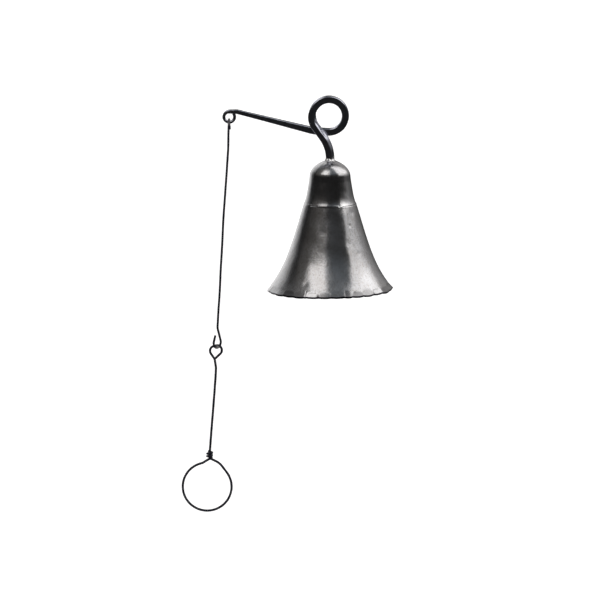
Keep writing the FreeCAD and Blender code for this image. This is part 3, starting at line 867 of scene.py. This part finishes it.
def make_lever_bar():
    segments = route(
        [
            (*ARM_EYE, ARM_EYE_RADIUS, -1),
            (*ARM_NECK, ARM_NECK_BEND, 0),
            (*ARM_HEEL, ARM_HEEL_BEND, 0),
            (0.0, 0.0, LOOP_RADIUS, 1),
            (*STEM_CORNER, STEM_BEND, 0),
            (BELL_X, DOME_TOP - 1.0 * MM, 0, 0),
        ],
        lead_degrees=ARM_EYE_LEAD,
    )
    stem = sum(part[3] for part in segments[STEM_RUN:]) - STEM_LEAD
    rings = []
    travelled = 0.0
    for number, segment in enumerate(segments):
        steps = max(2, math.ceil(segment[3] / BAR_SPACING))
        for step in range(steps + (number == STEM_FOOT)):
            share = step / steps
            x, z, heading = along(segment, share * segment[3])
            depth, slope, twist = COIL_STEP, 0.0, START_TWIST
            if number == LOOP_ARC:
                depth = COIL_STEP * (1 - 2 * ease(share))
                slope = -2 * COIL_STEP * ease_slope(share) / segment[3]
                twist = between(START_TWIST, CREST_TWIST, smooth_step(0.1, 0.55, share))
                twist = between(twist, STEM_TWIST, smooth_step(0.77, 1, share))
            elif number > LOOP_ARC:
                gone = sum(part[3] for part in segments[STEM_RUN:number]) + share * segment[3]
                back = max(0.0, (gone - STEM_LEAD) / stem)
                depth = -COIL_STEP * (1 - ease(back))
                slope = COIL_STEP * ease_slope(back) / stem
                twist = between(STEM_TWIST, FOOT_TWIST, back * back)
            ahead = Vector((math.cos(heading), slope, math.sin(heading))).normalized()
            side, corner = bar_side(number, share)
            far = travelled + share * segment[3]
            rings.append(bar_section(Vector((x, depth, z)), ahead, twist, side, corner, far))
        travelled += segment[3]
    points, faces = skin(rings)
    bar = add_mesh("forged_bar", points, faces, "bell_lever", MATERIALS["forged_iron"])
    eye_points = []
    for step in range(EYE_STEPS + 1):
        angle = math.radians(EYE_START + EYE_TURN * step / EYE_STEPS)
        eye_points.append(Vector((
            ARM_EYE[0] + ARM_EYE_RADIUS * math.cos(angle), COIL_STEP,
            ARM_EYE[1] + ARM_EYE_RADIUS * math.sin(angle),
        )))
    points, faces = skin(wire_rings(eye_points, ARM_EYE_WIRE, 21))
    eye = add_mesh("forged_eye", points, faces, "bell_lever", MATERIALS["forged_iron"])
    return bar, eye


WELD_STEPS = 96
WELD_ROWS = 14
WELD_FOOT = 7.0
WELD_INWARD = 3.1
WELD_SUNK = 1.9
WELD_RISE = 4.6


def make_stem_weld():
    """Lumpy fillet of weld round the foot of the stem; radius and height are in millimetres."""
    rings = []
    for row in range(WELD_ROWS):
        share = row / (WELD_ROWS - 1)
        ring = []
        for step in range(WELD_STEPS):
            angle = 2 * math.pi * step / WELD_STEPS
            lump = wobble(31, math.cos(angle) * 2.2, math.sin(angle) * 2.2, share * 1.5)
            lump += 0.5 * wobble(32, math.cos(angle) * 6, math.sin(angle) * 6, share * 3)
            square = 1 + 0.07 * math.cos(4 * (angle - math.radians(FOOT_TWIST)))
            radius = WELD_FOOT - WELD_INWARD * math.sin(share * math.pi / 2) ** 0.8
            radius = radius * square + 0.35 * lump
            height = -WELD_SUNK + WELD_RISE * share ** 1.35 + 0.25 * lump * (1 - share)
            ring.append(Vector((
                BELL_X + radius * MM * math.cos(angle),
                radius * MM * math.sin(angle),
                DOME_TOP + height * MM,
            )))
        rings.append(ring)
    points, faces = skin(rings)
    return add_mesh("stem_weld_bead", points, faces, "bell_lever", MATERIALS["weld_metal"])


# ---- pull wires ----------------------------------------------------------------------------


def sway(points, seed, size, bow):
    """Slight hand-bent waves in a wire and a bow near its top, none at its eyes."""
    low = min(point.z for point in points)
    high = max(point.z for point in points)
    moved = []
    for point in points:
        below = high - point.z
        share = smooth_step(16 * MM, 40 * MM, min(below, point.z - low))
        wave_x = size * share * wobble(seed, point.z / (38 * MM))
        wave_y = size * share * wobble(seed + 1, point.z / (45 * MM))
        wave_x += bow * smooth_step(8 * MM, 34 * MM, below) * falling(40 * MM, 115 * MM, below)
        moved.append(point + Vector((wave_x, wave_y, 0)))
    return moved


def make_upper_wire():
    """Eye round the arm's eye, long shank and open hook."""
    eye = route([
        (*PULL_EYE_TAIL, 0, 0),
        (0.0, -ARM_EYE_RADIUS, PULL_EYE_RADIUS, 1),
        (*PULL_EYE_NECK, 0),
        (0.0, PULL_MIDDLE_Z, 0, 0),
    ])
    hook = route([
        (0.0, PULL_MIDDLE_Z, 0, 0),
        (*HOOK_KNEE, 0),
        (*HOOK_CENTRE, HOOK_RADIUS, -1),
        (*HOOK_TIP, 0, 0),
    ])
    upper = turn_about_z(route_points(eye, WIRE_SPACING), 90)
    tail = sum(point.y > 0.2 * MM and point.z < -ARM_EYE_RADIUS for point in upper[:len(upper) // 4])
    for number, point in enumerate(upper[:tail]):
        point.x += 1.1 * MM * falling(0, tail, number)
    lower = turn_about_z(route_points(hook, WIRE_SPACING), HOOK_TURN)
    points = sway(upper[:-1] + lower, 41, 0.3 * MM, 0.75 * MM)
    points = lean_and_hang(points, PULL_LEAN, HANG_POINT)
    points, faces = skin(wire_rings(points, PULL_WIRE, 43))
    return add_mesh("upper_wire", points, faces, "upper_pull", MATERIALS["black_wire"])


def wrapped_end(start):
    """From the ring's end across the front of the shank, then wound upwards round it."""
    crossing = Vector((0, -WRAP_RADIUS, WRAP_START_Z))
    points = []
    for step in range(1, 8):
        spot = start.lerp(crossing, step / 8)
        spot.y = -WRAP_RADIUS * ease(step / 8)
        points.append(spot)
    per_turn = 40
    for step in range(round(WRAP_TURNS * per_turn) + 1):
        angle = -math.pi / 2 + 2 * math.pi * step / per_turn
        radius = WRAP_RADIUS * (1 + 0.05 * wobble(51, step / 9))
        rise = WRAP_PITCH * step / per_turn + 0.25 * MM * wobble(52, step / 17)
        points.append(Vector((radius * math.cos(angle), radius * math.sin(angle), WRAP_START_Z + rise)))
    return points


def make_lower_wire():
    """Heart-shaped eye, shank, finger ring and wrapped end."""
    heart = route([
        (*HEART_TIP, 0, 0),
        (*HEART_RIGHT, 1),
        (*HEART_LEFT, 1),
        (*HEART_POINT, 0),
        (*HEART_NECK, 0),
        (0.0, SHANK_MIDDLE_Z, 0, 0),
    ])
    ring = route([
        (0.0, SHANK_MIDDLE_Z, 0, 0),
        (*RING_NECK, 0),
        (*RING_SHOULDER, 0),
        (*RING_CENTRE, RING_RADIUS, -1),
        (*RING_LEG_END, 0, 0),
    ])
    upper = turn_about_z(route_points(heart, WIRE_SPACING), HEART_TURN)
    points = upper[:-1] + route_points(ring, WIRE_SPACING)
    points += wrapped_end(points[-1])
    points = sway(points, 45, 0.0, 0.6 * MM)
    points = lean_and_hang(points, RING_LEAN, HOOK_SEAT)
    points, faces = skin(wire_rings(points, RING_WIRE, 53))
    return add_mesh("lower_wire", points, faces, "lower_pull", MATERIALS["black_wire"])


# ---- build ---------------------------------------------------------------------------------

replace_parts(make_crown(), "bell_crown")
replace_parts(make_skirt(), "bell_skirt")
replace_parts(make_seam(), "crown_seam_weld")
bar, eye = make_lever_bar()
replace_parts(bar, "lever_bar")
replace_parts(make_stem_weld(), "stem_weld")
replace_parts(make_upper_wire(), "upper_pull_wire")
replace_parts(make_lower_wire(), "lower_pull_wire")
for name in ("clapper_staple", "clapper_rod", "clapper_ball"):
    nodes[name].data.materials.clear()
    nodes[name].data.materials.append(MATERIALS["clapper_steel"])

# ---- studio --------------------------------------------------------------------------------


class Sky:
    """Light by direction: soft panels round the object, white behind it for the camera."""

    def __init__(self):
        world = bpy.data.worlds.new("studio")
        bpy.context.scene.world = world
        world.use_nodes = True
        self.tree = world.node_tree
        self.tree.nodes.clear()
        direction = self.tree.nodes.new("ShaderNodeTexCoord").outputs["Generated"]
        parts = self.tree.nodes.new("ShaderNodeSeparateXYZ")
        self.tree.links.new(direction, parts.inputs["Vector"])
        x, y, z = parts.outputs
        backwards = self.math("MULTIPLY", y, -1.0)
        self.azimuth = self.math("MULTIPLY", self.math("ARCTAN2", x, backwards), 180 / math.pi)
        self.height = self.math("MULTIPLY", self.math("ARCSINE", z, 0.0), 180 / math.pi)
        self.total = None

    def math(self, operation, first, second):
        made = self.tree.nodes.new("ShaderNodeMath")
        made.operation = operation
        for socket, value in zip(made.inputs, (first, second)):
            if isinstance(value, bpy.types.NodeSocket):
                self.tree.links.new(value, socket)
            else:
                socket.default_value = value
        return made.outputs["Value"]

    def rise(self, value, low, high):
        made = self.tree.nodes.new("ShaderNodeMapRange")
        made.interpolation_type = "SMOOTHSTEP"
        self.tree.links.new(value, made.inputs["Value"])
        made.inputs["From Min"].default_value = low
        made.inputs["From Max"].default_value = high
        return made.outputs["Result"]

    def panel(self, azimuth, height, strength, soft=(10, 10, 8, 8), tint=(1, 1, 1)):
        """A soft-edged light between two azimuths and two heights, in degrees."""
        left = self.rise(self.azimuth, azimuth[0] - soft[0], azimuth[0])
        right = self.rise(self.azimuth, azimuth[1] + soft[1], azimuth[1])
        low = self.rise(self.height, height[0] - soft[2], height[0])
        high = self.rise(self.height, height[1] + soft[3], height[1])
        mask = self.math("MULTIPLY", self.math("MULTIPLY", left, right), self.math("MULTIPLY", low, high))
        self.add(self.math("MULTIPLY", mask, strength), tint)

    def add(self, light, tint=(1, 1, 1)):
        """Add light of one colour to the sky."""
        scaled = self.tree.nodes.new("ShaderNodeVectorMath")
        scaled.operation = "SCALE"
        scaled.inputs[0].default_value = tint
        if isinstance(light, bpy.types.NodeSocket):
            self.tree.links.new(light, scaled.inputs["Scale"])
        else:
            scaled.inputs["Scale"].default_value = light
        if self.total is None:
            self.total = scaled.outputs["Vector"]
            return
        both = self.tree.nodes.new("ShaderNodeVectorMath")
        both.operation = "ADD"
        self.tree.links.new(self.total, both.inputs[0])
        self.tree.links.new(scaled.outputs["Vector"], both.inputs[1])
        self.total = both.outputs["Vector"]

    def finish(self, camera_white):
        seen = self.tree.nodes.new("ShaderNodeLightPath").outputs["Is Camera Ray"]
        lit = self.tree.nodes.new("ShaderNodeBackground")
        lit.inputs["Strength"].default_value = 1
        self.tree.links.new(self.total, lit.inputs["Color"])
        plain = self.tree.nodes.new("ShaderNodeBackground")
        plain.inputs["Color"].default_value = (1, 1, 1, 1)
        plain.inputs["Strength"].default_value = camera_white
        mixed = self.tree.nodes.new("ShaderNodeMixShader")
        self.tree.links.new(seen, mixed.inputs["Fac"])
        self.tree.links.new(lit.outputs["Background"], mixed.inputs[1])
        self.tree.links.new(plain.outputs["Background"], mixed.inputs[2])
        output = self.tree.nodes.new("ShaderNodeOutputWorld")
        self.tree.links.new(mixed.outputs["Shader"], output.inputs["Surface"])


def make_sky():
    """Two large bright panels, fainter ones beside them, and a tall one behind on the left."""
    sky = Sky()
    sky.add(0.024)
    sky.add(ceiling_glow(sky))
    sky.panel((-54, -19), (35.5, 60), 1.85, (16, 13, 5.5, 14), (1, 0.975, 0.955))
    sky.panel((-85, -40), (26, 60), 0.085, (20, 32, 18, 20), (1.05, 0.98, 0.9))
    sky.panel((-6, 50), (38, 75), 0.08, (14, 14, 10, 15), (0.75, 0.95, 1.15))
    sky.panel((62, 119), (32, 85), 1.75, (8, 13, 22, 10), (1, 0.985, 0.975))
    sky.panel((98, 165), (20, 40), 0.55, (28, 15, 28, 20), (1, 0.98, 0.98))
    sky.panel((-170, -153), (-60, 42), 1.15, (9, 46, 20, 24))
    sky.finish(1.1)


def ceiling_glow(sky):
    """A weak general light that grows towards the ceiling."""
    return sky.math("MULTIPLY", sky.rise(sky.height, 10, 80), 0.16)


def make_floor():
    """Pale floor well below the ring, so wide that its edge is out of sight."""
    z = cad_box[0][2] - FLOOR_DROP
    mesh = bpy.data.meshes.new("floor")
    side = FLOOR_TILES + 1
    points = [
        (FLOOR_SIZE * (column / FLOOR_TILES - 0.5), FLOOR_SIZE * (row / FLOOR_TILES - 0.5), z)
        for row in range(side) for column in range(side)
    ]
    faces = []
    for row in range(FLOOR_TILES):
        for column in range(FLOOR_TILES):
            corner = row * side + column
            faces.append((corner, corner + 1, corner + side + 1, corner + side))
    mesh.from_pydata(points, [], faces)
    floor = bpy.data.objects.new("floor", mesh)
    bpy.context.scene.collection.objects.link(floor)
    material = bpy.data.materials.new("pale_floor")
    material.use_nodes = True
    surface = material.node_tree.nodes["Principled BSDF"]
    surface.inputs["Base Color"].default_value = (0.9, 0.9, 0.9, 1)
    surface.inputs["Roughness"].default_value = 0.9
    surface.inputs["Emission Color"].default_value = (1, 1, 1, 1)
    surface.inputs["Emission Strength"].default_value = 0.5
    mesh.materials.append(material)
    floor.visible_glossy = False


def make_camera():
    """Long lens from the front, a little above the rim."""
    elevation = math.radians(CAMERA_ELEVATION)
    backwards = Vector((0, -math.cos(elevation), math.sin(elevation)))
    camera = bpy.data.objects.new("camera", bpy.data.cameras.new("camera"))
    camera.data.lens = CAMERA_LENS_MM
    camera.data.sensor_width = CAMERA_SENSOR_MM
    camera.location = CAMERA_TARGET + CAMERA_DISTANCE * backwards
    camera.rotation_euler = (math.pi / 2 - elevation, 0, 0)
    camera.data.clip_end = CAMERA_REACH
    bpy.context.scene.collection.objects.link(camera)
    bpy.context.scene.camera = camera


make_sky()
make_floor()
make_camera()
bpy.context.scene.view_settings.view_transform = "Standard"
